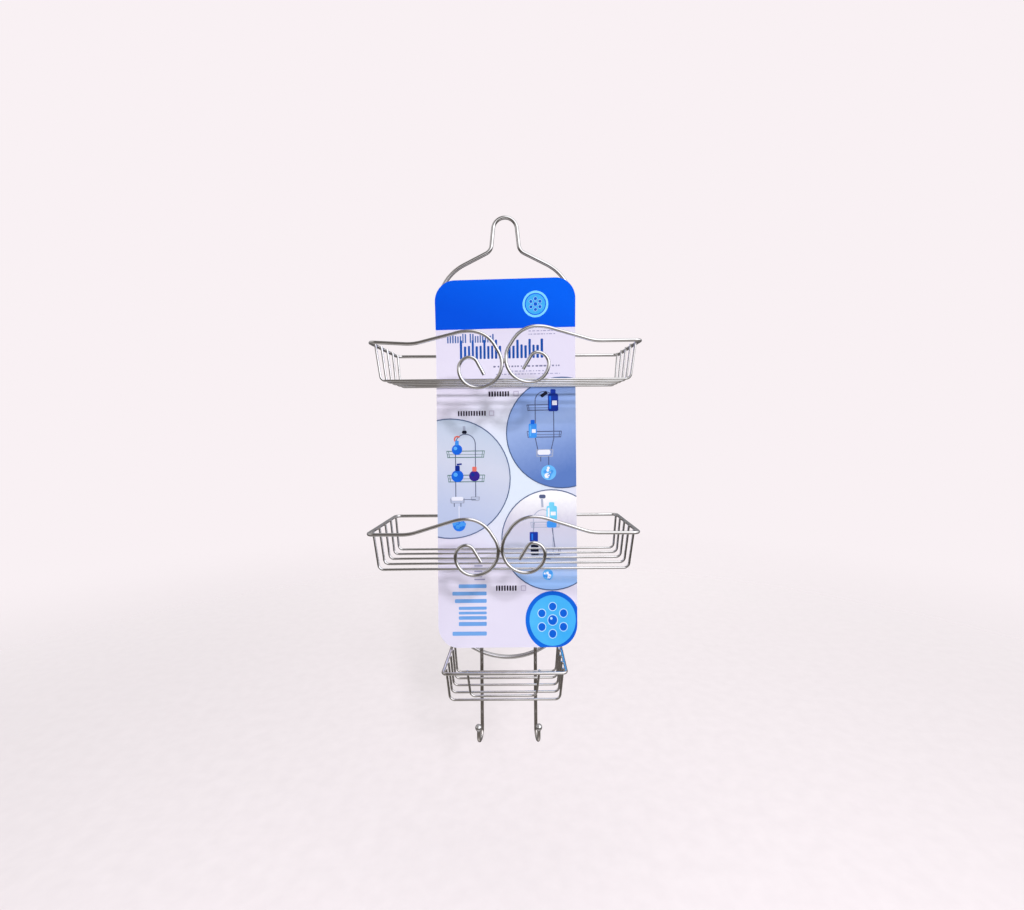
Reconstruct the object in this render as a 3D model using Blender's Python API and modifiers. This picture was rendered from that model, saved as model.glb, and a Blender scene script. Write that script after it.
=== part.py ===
"""Hanging shower caddy bent and welded from chrome-plated steel wire.

A closed frame loop hangs from its narrow top bend. Two wide baskets and a soap dish are
welded in front of it, two rods end in forward hooks with ball tips, and a printed display
card stands between the frame and the basket floors.

Frame: +X to the right, +Y into the wall, +Z up. The origin is the underside of the top
bend, where the caddy rests on its wall hook. Sizes below are millimetres.
"""
import math

import bmesh
import bpy
from mathutils import Vector

MM = 0.001                      # one millimetre in Blender's metres
WELD_GAP = 0.3                  # clearance kept where two wires are welded side by side
BEND_TOLERANCE = 0.15           # how far a bend's straight pieces may leave its true arc

# Frame loop
FRAME_R = 2.4
HANGER_BEND_R = 14.6            # top bend that sits on the wall hook
NECK_FLARE = 6.0                # degrees each neck leg leans outward
NECK_RUN = 21.5
NECK_BEND_R = 12.0
SHOULDER_FALL = 27.0            # degrees the straight shoulder drops below level
SHOULDER_BEND_R = 57.5
FRAME_HALF_WIDTH = 82.0         # also the radius of the round bottom
FRAME_BOTTOM_Z = -536.6

# Baskets
TOP_RIM_Z = -168.0
LOWER_RIM_Z = -362.0
RIM_R = 1.8
BASKET_FRONT_Y = -115.0
BASKET_FRONT_HALF = 137.5
BASKET_BACK_HALF = 134.5
BASKET_CORNER_R = 6.5
BASKET_DEPTH = 38.0             # floor wires below the rim
BASKET_FLOOR_HALF = 128.0
BASKET_WIRE_YS = (-16.0, -38.0, -60.0, -82.0, -104.0)

# Scrolled front ends of a basket rim
SCROLL_START = 100.0            # distance from the centre where the hump begins
HUMP_RISE = 17.3                # degrees
SCROLL_MOVES = (
    ("bend", 50.0, -HUMP_RISE),
    ("run", 38.0),
    ("bend", 49.0, HUMP_RISE),
    ("bend", 28.7, 57.0),
    ("run", 7.3),
    ("bend", 24.3, 33.0),
    ("bend", 24.1, 90.0),
    ("bend", 19.0, 90.0),
    ("bend", 11.2, 90.0),
    ("bend", 7.8, 59.0),
    ("run", 15.3),
)

# Small differences between the two baskets, as bent and welded by hand: where the basket's
# middle is, where its scrolls meet from there, and the degrees by which each end hangs
# from its front corner
TOP_X, TOP_MEET_X, TOP_LEFT_SAG, TOP_RIGHT_SAG = 2.2, -1.6, 3.2, 0.6
LOWER_X, LOWER_MEET_X, LOWER_LEFT_SAG, LOWER_RIGHT_SAG = -1.4, -3.2, 0.5, -0.7

# Soap dish, welded a little left of the middle, with its guard further left
DISH_X = -2.2
GUARD_X = -3.5
DISH_RIM_Z = -515.0
DISH_RIM_R = 1.6
DISH_FRONT_Y = -89.0
DISH_FRONT_HALF = 65.8
DISH_BACK_HALF = 64.2
DISH_CORNER_R = 5.0
DISH_DEPTH = 31.0
DISH_FLOOR_HALF = 58.6
DISH_WIRE_YS = (-18.0, -34.0, -50.0, -66.0, -82.0)
GUARD_TOP_HALF = 38.3
GUARD_BOTTOM_HALF = 34.8
GUARD_DROP = 25.0

# Thin cross wires of the floors and the front guard
WIRE_R = 1.2
WIRE_BEND_R = 5.5
BASKET_LEG_RISE = 0.6           # how far a leg's end stands above its rail's centre
DISH_LEG_RISE = 2.0

# Hook rods
ROD_R = 2.0
ROD_X = 32.5
ROD_TOP_Z = -356.0
HOOK_BEND_R = 9.0
HOOK_BEND_Z = -619.0
HOOK_TIP_RUN = 5.7
HOOK_SPLAY = 9.5                # degrees each hook turns outward
BALL_R = 4.0

# Display card
CARD_HALF_WIDTH = 83.5
CARD_TOP_Z = -79.5
CARD_CORNER_R = 24.0
CARD_THICKNESS = 0.8
CARD_Y = -12.5
CARD_CURL_START_Z = -195.0      # above this height the card curls forward
CARD_CURL = 12.0                # forward reach of its top edge
CARD_ROW_HEIGHT = 12.0

# Positions that follow from touching pieces
CARD_BOTTOM_Z = DISH_RIM_Z + DISH_RIM_R + WELD_GAP
RAIL_Y = -(FRAME_R + RIM_R + WELD_GAP)
ROD_TOP_Y = RAIL_Y + RIM_R + ROD_R + WELD_GAP
ROD_ON_FRAME_Y = -(FRAME_R + ROD_R + WELD_GAP)
ROD_ON_FRAME_Z = (FRAME_BOTTOM_Z + FRAME_HALF_WIDTH
                  - math.sqrt(FRAME_HALF_WIDTH ** 2 - ROD_X ** 2))

DISH_BACK_Y = (ROD_TOP_Y - ROD_R - DISH_RIM_R - WELD_GAP
               + (ROD_ON_FRAME_Y - ROD_TOP_Y) * (DISH_RIM_Z - ROD_TOP_Z)
               / (ROD_ON_FRAME_Z - ROD_TOP_Z))

CHROME = ("chrome", (0.78, 0.79, 0.81), 1.0, 0.14)
CARD_STOCK = ("card", (0.80, 0.86, 0.93), 0.0, 0.45)


def clear_scene():
    """Remove every object so that the script starts from nothing."""
    for old in list(bpy.data.objects):
        bpy.data.objects.remove(old, do_unlink=True)


def material(node_name, finish):
    """A Principled material of the given finish for one node."""
    finish_name, colour, metallic, roughness = finish
    made = bpy.data.materials.new(f"{node_name}_{finish_name}")
    made.use_nodes = True
    shader = made.node_tree.nodes["Principled BSDF"]
    shader.inputs["Base Color"].default_value = (*colour, 1.0)
    shader.inputs["Metallic"].default_value = metallic
    shader.inputs["Roughness"].default_value = roughness
    return made


def bend_steps(radius, turn):
    """Number of straight pieces that stand for a bend of this radius and angle."""
    largest = 2.0 * math.acos(1.0 - BEND_TOLERANCE / abs(radius))
    return max(2, math.ceil(abs(turn) / largest))


def trace(start, heading, moves):
    """Points of a wire bent in one plane, from straight runs and bends.

    A move is ("run", length) or ("bend", radius, degrees), positive to the left.
    """
    x, z = start
    angle = math.radians(heading)
    points = [(x, z)]
    for kind, size, *rest in moves:
        if kind == "run":
            x += size * math.cos(angle)
            z += size * math.sin(angle)
            points.append((x, z))
            continue
        turn = math.radians(rest[0])
        radius = math.copysign(size, turn)
        centre = (x - radius * math.sin(angle), z + radius * math.cos(angle))
        steps = bend_steps(radius, turn)
        for step in range(1, steps + 1):
            now = angle + turn * step / steps
            x = centre[0] + radius * math.sin(now)
            z = centre[1] - radius * math.cos(now)
            points.append((x, z))
        angle += turn
    return points


def rounded(corners, radius, closed=False):
    """A line through the corners, each inner corner turned into an arc."""
    corners = [Vector(corner) for corner in corners]
    count = len(corners)
    points = []
    for index, corner in enumerate(corners):
        if not closed and index in (0, count - 1):
            points.append(corner)
            continue
        back = (corners[index - 1] - corner).normalized()
        ahead = (corners[(index + 1) % count] - corner).normalized()
        half = back.angle(ahead) / 2.0
        centre = corner + (back + ahead).normalized() * (radius / math.sin(half))
        first = (corner + back * (radius / math.tan(half)) - centre).normalized()
        last = (corner + ahead * (radius / math.tan(half)) - centre).normalized()
        steps = bend_steps(radius, math.pi - 2.0 * half)
        for step in range(steps + 1):
            points.append(centre + first.slerp(last, step / steps) * radius)
    return points


def wire(name, points, radius, collection, parent=None, closed=False):
    """A round wire along the points, given in millimetres in its parent's frame."""
    curve = bpy.data.curves.new(name, "CURVE")
    curve.dimensions = "3D"
    curve.bevel_depth = radius * MM
    curve.bevel_resolution = 2
    curve.use_fill_caps = True
    spline = curve.splines.new("POLY")
    spline.points.add(len(points) - 1)
    for point, place in zip(spline.points, points):
        point.co = (*(Vector(place) * MM), 1.0)
        point.radius = 1.0
    spline.use_cyclic_u = closed
    spline.use_smooth = True
    made = bpy.data.objects.new(name, curve)
    made.data.materials.append(material(name, CHROME))
    collection.objects.link(made)
    made.parent = parent
    return made


def station(name, place, collection):
    """An empty at a place given in millimetres, which carries one sub-assembly."""
    empty = bpy.data.objects.new(name, None)
    empty.empty_display_size = 0.02
    empty.location = Vector(place) * MM
    collection.objects.link(empty)
    return empty


def make_frame(collection):
    """The closed loop: hanger bend, neck, shoulders, sides and round bottom."""
    neck = math.radians(90.0 - NECK_FLARE)
    fall = math.radians(SHOULDER_FALL)
    top_z = FRAME_R
    neck_x = (HANGER_BEND_R * math.sin(neck) + NECK_RUN * math.cos(neck)
              + NECK_BEND_R * (math.sin(neck) - math.sin(fall)))
    shoulder_width = SHOULDER_BEND_R * (1.0 - math.sin(fall))
    shoulder_run = (FRAME_HALF_WIDTH - neck_x - shoulder_width) / math.cos(fall)
    right = trace((0.0, top_z), 0.0, (
        ("bend", HANGER_BEND_R, NECK_FLARE - 90.0),
        ("run", NECK_RUN),
        ("bend", NECK_BEND_R, 90.0 - NECK_FLARE - SHOULDER_FALL),
        ("run", shoulder_run),
        ("bend", SHOULDER_BEND_R, SHOULDER_FALL - 90.0),
    ))
    round_bottom = trace((FRAME_HALF_WIDTH, FRAME_BOTTOM_Z + FRAME_HALF_WIDTH), -90.0,
                         (("bend", FRAME_HALF_WIDTH, -90.0),))
    right += round_bottom
    left = [(-x, z) for x, z in reversed(right[1:-1])]
    points = [(x, 0.0, z) for x, z in right + left]
    return wire("frame_loop", points, FRAME_R, collection, closed=True)


def scroll(side, meet_x, sag):
    """One scrolled end, from the front rail to its tip, on side +1 or -1.

    The end is turned by sag degrees about the rim's front corner, and then slid along
    the rail until its loop touches the plane where the two scrolls meet.
    """
    lean = math.radians(sag)
    path = [(BASKET_FRONT_HALF - (BASKET_FRONT_HALF - x) * math.cos(lean) - z * math.sin(lean),
             z * math.cos(lean) - (BASKET_FRONT_HALF - x) * math.sin(lean))
            for x, z in trace((SCROLL_START, 0.0), 180.0, SCROLL_MOVES)]
    shift = RIM_R + WELD_GAP / 2.0 + side * meet_x - min(x for x, _ in path)
    return [(side * (x + shift), BASKET_FRONT_Y, z) for x, z in path]


def cross_wire(name, y, rise, rail_half, floor_half, depth, collection, parent):
    """A U wire with both legs welded inside the rails that it hangs from."""
    corners = ((rail_half, y, rise), (floor_half, y, -depth),
               (-floor_half, y, -depth), (-rail_half, y, rise))
    return wire(name, rounded(corners, WIRE_BEND_R), WIRE_R, collection, parent)


def rail_half_at(y, front_y, front_half, back_y, back_half):
    """Half the distance between two slightly tapering side rails at this depth."""
    return front_half + (back_half - front_half) * (y - front_y) / (back_y - front_y)


def make_basket(name, middle_x, rim_z, meet_x, left_sag, right_sag, collection):
    """A wide basket: one rim wire with two scrolled ends, and its floor wires."""
    parent = station(f"{name}_frame", (middle_x, 0.0, rim_z), collection)
    right, left = scroll(1, meet_x, right_sag), scroll(-1, meet_x, left_sag)
    rails = rounded((right[0],
                     (BASKET_FRONT_HALF, BASKET_FRONT_Y, 0.0),
                     (BASKET_BACK_HALF, RAIL_Y, 0.0),
                     (-BASKET_BACK_HALF, RAIL_Y, 0.0),
                     (-BASKET_FRONT_HALF, BASKET_FRONT_Y, 0.0),
                     left[0]), BASKET_CORNER_R)
    wire(f"{name}_rim", right[:0:-1] + rails + left[1:], RIM_R, collection, parent)
    inset = RIM_R + WIRE_R + WELD_GAP
    for number, y in enumerate(BASKET_WIRE_YS, start=1):
        rail_half = rail_half_at(y, BASKET_FRONT_Y, BASKET_FRONT_HALF, RAIL_Y, BASKET_BACK_HALF)
        cross_wire(f"{name}_floor_wire_{number}", y, BASKET_LEG_RISE, rail_half - inset,
                   BASKET_FLOOR_HALF, BASKET_DEPTH, collection, parent)


def rod_y(z):
    """Depth of a hook rod's centre at this height, as it leans onto the frame."""
    lean = (ROD_ON_FRAME_Y - ROD_TOP_Y) / (ROD_ON_FRAME_Z - ROD_TOP_Z)
    return ROD_TOP_Y + lean * (z - ROD_TOP_Z)


def make_soap_dish(collection):
    """The small dish: closed rim, floor wires and a narrower guard at the front."""
    parent = station("soap_dish_frame", (DISH_X, 0.0, DISH_RIM_Z), collection)
    corners = ((DISH_FRONT_HALF, DISH_FRONT_Y, 0.0), (DISH_BACK_HALF, DISH_BACK_Y, 0.0),
               (-DISH_BACK_HALF, DISH_BACK_Y, 0.0), (-DISH_FRONT_HALF, DISH_FRONT_Y, 0.0))
    wire("soap_dish_rim", rounded(corners, DISH_CORNER_R, closed=True), DISH_RIM_R,
         collection, parent, closed=True)
    inset = DISH_RIM_R + WIRE_R + WELD_GAP
    for number, y in enumerate(DISH_WIRE_YS, start=1):
        rail_half = rail_half_at(y, DISH_FRONT_Y, DISH_FRONT_HALF, DISH_BACK_Y, DISH_BACK_HALF)
        cross_wire(f"soap_dish_floor_wire_{number}", y, DISH_LEG_RISE, rail_half - inset,
                   DISH_FLOOR_HALF, DISH_DEPTH, collection, parent)
    guard_parent = station("soap_dish_guard_frame", (GUARD_X, 0.0, DISH_RIM_Z), collection)
    cross_wire("soap_dish_front_guard", DISH_FRONT_Y + inset, DISH_LEG_RISE, GUARD_TOP_HALF,
               GUARD_BOTTOM_HALF, GUARD_DROP, collection, guard_parent)


def make_hook(name, side, collection):
    """A rod with its forward hook, and the ball on the hook's tip."""
    splay = math.radians(HOOK_SPLAY)
    bend_y = rod_y(HOOK_BEND_Z)
    hook = trace((0.0, HOOK_BEND_Z), -90.0,
                 (("bend", HOOK_BEND_R, 180.0), ("run", HOOK_TIP_RUN)))
    points = [(side * ROD_X, rod_y(ROD_TOP_Z), ROD_TOP_Z)]
    points += [(side * (ROD_X + forward * math.sin(splay)),
                bend_y - forward * math.cos(splay), z) for forward, z in hook]
    wire(f"hook_rod_{name}", points, ROD_R, collection)
    tip = Vector(points[-1])
    bpy.ops.mesh.primitive_uv_sphere_add(segments=16, ring_count=10, radius=BALL_R * MM,
                                         location=(tip + Vector((0, 0, BALL_R + WELD_GAP))) * MM)
    ball = bpy.context.object
    ball.name = f"hook_ball_{name}"
    ball.data.shade_smooth()
    ball.data.materials.append(material(ball.name, CHROME))
    for home in list(ball.users_collection):
        home.objects.unlink(ball)
    collection.objects.link(ball)


def card_rows():
    """Heights and half-widths of the card from bottom to top, round corners included."""
    steps = bend_steps(CARD_CORNER_R, math.pi / 2.0)
    corner = [(CARD_CORNER_R * (1.0 - math.cos(math.pi / 2.0 * step / steps)),
               CARD_CORNER_R * (1.0 - math.sin(math.pi / 2.0 * step / steps)))
              for step in range(steps + 1)]
    low = [(CARD_BOTTOM_Z + rise, CARD_HALF_WIDTH - pull) for rise, pull in corner]
    high = [(CARD_TOP_Z - rise, CARD_HALF_WIDTH - pull) for rise, pull in reversed(corner)]
    span = high[0][0] - low[-1][0]
    count = math.ceil(span / CARD_ROW_HEIGHT)
    middle = [(low[-1][0] + span * row / count, CARD_HALF_WIDTH) for row in range(1, count)]
    return low + middle + high


def card_y(z):
    """Depth of the card at this height, with its top curling forward."""
    above = max(0.0, z - CARD_CURL_START_Z) / (CARD_TOP_Z - CARD_CURL_START_Z)
    return CARD_Y - CARD_CURL * above ** 2


def make_card(collection):
    """The thin printed card, whose origin is the middle of its lower edge."""
    rows = card_rows()
    sheet = bmesh.new()
    bmesh.ops.create_grid(sheet, x_segments=1, y_segments=len(rows) - 1, size=1.0)
    for vert in sheet.verts:
        row = round((vert.co.y + 1.0) / 2.0 * (len(rows) - 1))
        z, half = rows[row]
        x = math.copysign(half, vert.co.x)
        vert.co = Vector((x, card_y(z) - CARD_Y, z - CARD_BOTTOM_Z)) * MM
    mesh = bpy.data.meshes.new("display_card")
    sheet.to_mesh(mesh)
    sheet.free()
    card = bpy.data.objects.new("display_card", mesh)
    card.location = Vector((0.0, CARD_Y, CARD_BOTTOM_Z)) * MM
    card.data.materials.append(material("display_card", CARD_STOCK))
    shell = card.modifiers.new("card_thickness", "SOLIDIFY")
    shell.thickness = CARD_THICKNESS * MM
    shell.offset = 0.0
    collection.objects.link(card)


def main():
    clear_scene()
    caddy = bpy.data.collections.new("shower_caddy")
    bpy.context.scene.collection.children.link(caddy)
    make_frame(caddy)
    make_basket("top_basket", TOP_X, TOP_RIM_Z, TOP_MEET_X, TOP_LEFT_SAG, TOP_RIGHT_SAG, caddy)
    make_basket("lower_basket", LOWER_X, LOWER_RIM_Z, LOWER_MEET_X, LOWER_LEFT_SAG,
                LOWER_RIGHT_SAG, caddy)
    make_soap_dish(caddy)
    make_hook("left", -1, caddy)
    make_hook("right", 1, caddy)
    make_card(caddy)


main()
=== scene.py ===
"""Looks of the hanging shower caddy: chrome-plated wires, their welds and the printed card.

Every wire of the CAD model is drawn again as a smooth round wire along the same path, with
weld beads where wires touch. The card becomes a thin sheet that curls forward at its top and
leans forward at its foot, and its print is made of thin layers of ink. Lengths are
millimetres until a mesh is built. Places on the card are given as the distance to the right
of its centre line and the drop below its top edge.
"""
import math
import random

import bmesh
import bpy
from mathutils import Matrix, Vector, noise


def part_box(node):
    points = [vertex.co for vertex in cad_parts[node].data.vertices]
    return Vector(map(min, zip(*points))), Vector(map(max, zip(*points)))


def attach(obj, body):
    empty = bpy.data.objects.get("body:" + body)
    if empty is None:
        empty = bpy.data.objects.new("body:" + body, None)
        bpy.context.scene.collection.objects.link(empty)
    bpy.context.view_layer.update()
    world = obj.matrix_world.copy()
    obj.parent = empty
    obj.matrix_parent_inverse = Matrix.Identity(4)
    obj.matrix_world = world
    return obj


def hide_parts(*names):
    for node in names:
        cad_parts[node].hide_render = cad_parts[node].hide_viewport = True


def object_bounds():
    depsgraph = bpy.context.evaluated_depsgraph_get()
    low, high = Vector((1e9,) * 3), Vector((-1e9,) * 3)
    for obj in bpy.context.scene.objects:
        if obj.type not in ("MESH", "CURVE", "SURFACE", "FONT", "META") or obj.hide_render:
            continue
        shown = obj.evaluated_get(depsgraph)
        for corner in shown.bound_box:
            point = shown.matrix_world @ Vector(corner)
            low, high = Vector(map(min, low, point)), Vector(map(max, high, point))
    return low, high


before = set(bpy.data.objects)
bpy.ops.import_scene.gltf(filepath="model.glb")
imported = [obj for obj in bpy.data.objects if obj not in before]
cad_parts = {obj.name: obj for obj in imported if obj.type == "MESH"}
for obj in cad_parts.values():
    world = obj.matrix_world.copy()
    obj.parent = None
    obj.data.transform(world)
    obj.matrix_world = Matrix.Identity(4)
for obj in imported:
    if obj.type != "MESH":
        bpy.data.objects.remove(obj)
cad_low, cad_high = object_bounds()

MM = 0.001

# Wire sizes and bends that the frame's boxes can't tell
RIM_R = 1.8
ROD_R = 2.0
HANGER_BEND_R = 14.6
NECK_FLARE = 6.0
NECK_RUN = 21.5
NECK_BEND_R = 12.0
SHOULDER_FALL = 27.0
SHOULDER_BEND_R = 57.5
BASKET_CORNER_R = 6.5
BASKET_TAPER = 3.0              # the back rail's half is this much shorter than the front's
BASKET_DEPTH = 38.0
BASKET_FLOOR_HALF = 128.0
FLOOR_WIRES = 5                 # in each basket and in the dish
SCROLL_START = 100.0
HUMP_RISE = 17.3
SCROLL_MOVES = (
    ("bend", 50.0, -HUMP_RISE),
    ("run", 38.0),
    ("bend", 49.0, HUMP_RISE),
    ("bend", 28.7, 57.0),
    ("run", 7.3),
    ("bend", 24.3, 33.0),
    ("bend", 24.1, 90.0),
    ("bend", 19.0, 90.0),
    ("bend", 11.2, 90.0),
    ("bend", 7.8, 59.0),
    ("run", 15.3),
)
SCROLL_GAP = 0.15               # from each scroll to the plane where the two meet
SCROLLS_MEET_X = {"top_basket": 0.6, "lower_basket": -4.6}
SAGS = {"top_basket": (3.2, 0.6), "lower_basket": (0.5, -0.7)}   # left and right, in degrees
DISH_CORNER_R = 5.0
DISH_TAPER = 1.6
DISH_FLOOR_HALF = 58.6
GUARD_BOTTOM_HALF = 34.8
WIRE_BEND_R = 5.5
HOOK_BEND_R = 9.0
HOOK_TIP_RUN = 5.7
HOOK_SPLAY = 9.5

# Half sizes of the weld beads
LEG_WELD = (0.9, 1.5, 1.3)
SCROLL_WELD = (1.0, 1.2, 2.4)
FRAME_WELD = (1.9, 0.9, 1.5)
DISH_LEG_WELD = (0.8, 1.4, 1.2)
GUARD_WELD = (1.3, 0.8, 1.2)
ROD_WELD = (1.5, 0.8, 1.5)

# How finely the wires are drawn
CHORD_ERROR = 0.02
LONGEST_STEP = 5.0
WIRE_SIDES = 20
CUT_EASE = ((0.12, 0.09), (0.30, 0.13))     # a cut end's rounds: shares of the radius in and out
HAND_BEND = 0.22                # how far a wire strays from its drawn line
HAND_BEND_LENGTH = 70.0
HAND_BEND_SEED = 3              # noise_vector takes its offsets from the clock without a seed

# Card
CARD_THICKNESS = 0.8
CARD_CORNER_R = 24.0
CARD_CURL_START = -195.0
CARD_WARP = 0.35
CARD_WARP_LENGTH = 120.0
FOOT_LEAN = 15.4                # how far the lower edge comes forward over the soap dish
FOOT_HEIGHT = 108.0
FOOT_TAPER = 0.025              # share by which the leaning foot narrows
TOP_SKEW = 0.021                # slope of the top edge, which turns about SKEW_X
SKEW_X = 24.0
SKEW_HEIGHT = 260.0
CARD_CELL = 7.0                 # the sheet and its inks are cut into cells of this size
SAME_PLACE = 1e-4               # corners this close to a cut lie on it
SMALLEST_INK = 0.02             # mm2, smaller scraps of ink are dropped
INK_ROOT = -0.02                # how far every ink reaches into the card
INK_STEP = 0.05                 # each ink lies this much above the one before
GLOW_PLACE = (10.0, 232.0)      # middle of the pale glow: right of centre, drop from the top
GLOW_INNER, GLOW_OUTER = 30.0, 112.0

# Screen colours of the inks
INK_COLOURS = {
    "band": ((2, 98, 240), (2, 82, 222)),
    "heading": ((22, 76, 160), (34, 94, 182)),
    "heading_light": ((66, 98, 160), (86, 120, 182)),
    "note": ((158, 158, 192), (176, 176, 206)),
    "note_dark": ((112, 114, 146), (136, 138, 170)),
    "mark": ((30, 22, 40), (50, 40, 62)),
    "mark_light": ((176, 170, 196), (198, 192, 214)),
    "word": ((104, 160, 224), (128, 180, 236)),
    "emblem_ring": ((116, 210, 252), (146, 228, 255)),
    "emblem_disc": ((52, 166, 236), (84, 190, 246)),
    "emblem_dark": ((6, 84, 200), (20, 110, 224)),
    "emblem_gloss": ((160, 214, 252), (196, 232, 255)),
    "outline": ((62, 84, 124), (84, 106, 146)),
    "ground_right": ((124, 158, 220), (152, 178, 224), (92, 126, 192)),
    "ground_left": ((186, 206, 226), (208, 216, 232), (188, 202, 230)),
    "ground_low": ((252, 255, 255), (208, 208, 224), (200, 208, 228), (150, 190, 242)),
    "wire_dark": ((62, 74, 108), (90, 102, 136)),
    "wire_green": ((72, 110, 110), (106, 144, 136)),
    "wire_pale": ((150, 160, 184), (178, 188, 208)),
    "black": ((14, 16, 32), (34, 38, 60)),
    "navy": ((14, 36, 128), (30, 62, 168)),
    "blue": ((18, 92, 214), (44, 128, 236)),
    "sky": ((74, 164, 240), (120, 200, 252)),
    "sky_deep": ((46, 136, 230), (84, 168, 244)),
    "cyan": ((70, 190, 236), (132, 222, 248)),
    "white": ((228, 234, 248), (246, 249, 255)),
    "purple": ((44, 28, 124), (70, 50, 158)),
    "salmon": ((214, 92, 78), (236, 140, 126)),
}

# Inks that run from their first colour to their last between two drops down the card
INK_GRADES = {
    "band": {"top": 0.0, "bottom": 60.0, "slant": 0.3},
    "ground_right": {"top": 118.0, "bottom": 262.0, "slant": -0.35},
    "ground_left": {"top": 166.0, "bottom": 306.0, "slant": 0.3},
    "ground_low": {"top": 258.0, "bottom": 366.0},
}

# Camera
CAMERA_PLACE = (16.4, -638.0, -254.8)
CAMERA_ROLL = 0.50
LENS = 18.28
SHIFT = (-0.0078, -0.0273)


def srgb(red, green, blue):
    """A linear colour from screen values of 0 to 255."""
    def linear(value):
        value /= 255.0
        return value / 12.92 if value <= 0.04045 else ((value + 0.055) / 1.055) ** 2.4
    return (linear(red), linear(green), linear(blue), 1.0)


def span(node):
    """Lowest and highest corner of a CAD node, in millimetres."""
    low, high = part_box(node)
    return low / MM, high / MM


def add_object(name, data):
    made = bpy.data.objects.new(name, data)
    bpy.context.scene.collection.objects.link(made)
    return made


# ---------------------------------------------------------------- materials

def new_material(name):
    made = bpy.data.materials.new(name)
    made.use_nodes = True
    return made, made.node_tree, made.node_tree.nodes["Principled BSDF"]


def own_place(tree):
    """The object's own coordinates."""
    return tree.nodes.new("ShaderNodeTexCoord").outputs["Object"]


def noise_value(tree, scale, detail, offset=(0.0, 0.0, 0.0), stretch=(1.0, 1.0, 1.0)):
    """Noise on the object's own coordinates."""
    move = tree.nodes.new("ShaderNodeMapping")
    move.inputs["Location"].default_value = offset
    move.inputs["Scale"].default_value = stretch
    texture = tree.nodes.new("ShaderNodeTexNoise")
    texture.inputs["Scale"].default_value = scale
    texture.inputs["Detail"].default_value = detail
    tree.links.new(own_place(tree), move.inputs["Vector"])
    tree.links.new(move.outputs["Vector"], texture.inputs["Vector"])
    return texture.outputs["Fac"]


def ramp(tree, value, stops):
    """Colours along a value, from (position, colour) stops."""
    made = tree.nodes.new("ShaderNodeValToRGB")
    elements = made.color_ramp.elements
    for element, (position, colour) in zip(elements, (stops[0], stops[-1])):
        element.position = position
        element.color = colour
    for position, colour in stops[1:-1]:
        elements.new(position).color = colour
    tree.links.new(value, made.inputs["Fac"])
    return made.outputs["Color"]


def spread(tree, value, low, high, to_low, to_high, kind="LINEAR"):
    """The value's range low to high turned into another range, and held at its ends."""
    made = tree.nodes.new("ShaderNodeMapRange")
    made.interpolation_type = kind
    for socket, number in zip(("From Min", "From Max", "To Min", "To Max"),
                              (low, high, to_low, to_high)):
        made.inputs[socket].default_value = number
    tree.links.new(value, made.inputs["Value"])
    return made.outputs["Result"]


def add_bump(tree, shader, height, distance):
    made = tree.nodes.new("ShaderNodeBump")
    made.inputs["Distance"].default_value = distance
    tree.links.new(height, made.inputs["Height"])
    tree.links.new(made.outputs["Normal"], shader.inputs["Normal"])


def paper_shine(tree, shader, grain, specular, coat):
    """Shine of the stock and its inks: uneven along the grain, under a thin clear coat."""
    tree.links.new(spread(tree, grain, 0.3, 0.7, 0.34, 0.48), shader.inputs["Roughness"])
    shader.inputs["Specular IOR Level"].default_value = specular
    shader.inputs["Coat Weight"].default_value = coat
    shader.inputs["Coat Roughness"].default_value = 0.25


def mix_shaders(tree, amount, one, two):
    mix = tree.nodes.new("ShaderNodeMixShader")
    for socket, source in enumerate((amount, one, two)):
        tree.links.new(source, mix.inputs[socket])
    return mix.outputs["Shader"]


def chrome(name, light, dark, rough_low, rough_high, offset):
    """Bright plating: smudged shine, faint tint changes and a fine drawn-wire ripple."""
    made, tree, shader = new_material(name)
    shift = (offset, offset * 0.7, offset * 0.3)
    smudge = noise_value(tree, 38.0, 6.0, shift)
    ripple = noise_value(tree, 260.0, 2.0, shift)
    shader.inputs["Metallic"].default_value = 1.0
    shader.inputs["Specular Tint"].default_value = srgb(246, 248, 255)
    tree.links.new(ramp(tree, smudge, ((0.3, dark), (0.62, light))), shader.inputs["Base Color"])
    tree.links.new(spread(tree, smudge, 0.35, 0.7, rough_high, rough_low),
                   shader.inputs["Roughness"])
    add_bump(tree, shader, ripple, 0.000012)
    return made


def weld_metal_with_painted_shade(name):
    """Plated weld beads: duller, slightly warm from the heat, and darker than the wires as painted shade
    for the crevices where wires meet.
    """
    made, tree, shader = new_material(name)
    grain = noise_value(tree, 300.0, 5.0)
    shader.inputs["Metallic"].default_value = 1.0
    # Painted shade: both colours are darker than the chrome wires, for the crevices where the wires
    # meet; the warm cast is heat tint.
    tree.links.new(ramp(tree, grain, ((0.3, srgb(172, 164, 156)), (0.7, srgb(214, 212, 210)))),
                   shader.inputs["Base Color"])
    tree.links.new(spread(tree, grain, 0.3, 0.7, 0.16, 0.34), shader.inputs["Roughness"])
    add_bump(tree, shader, grain, 0.0003)
    return made


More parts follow.
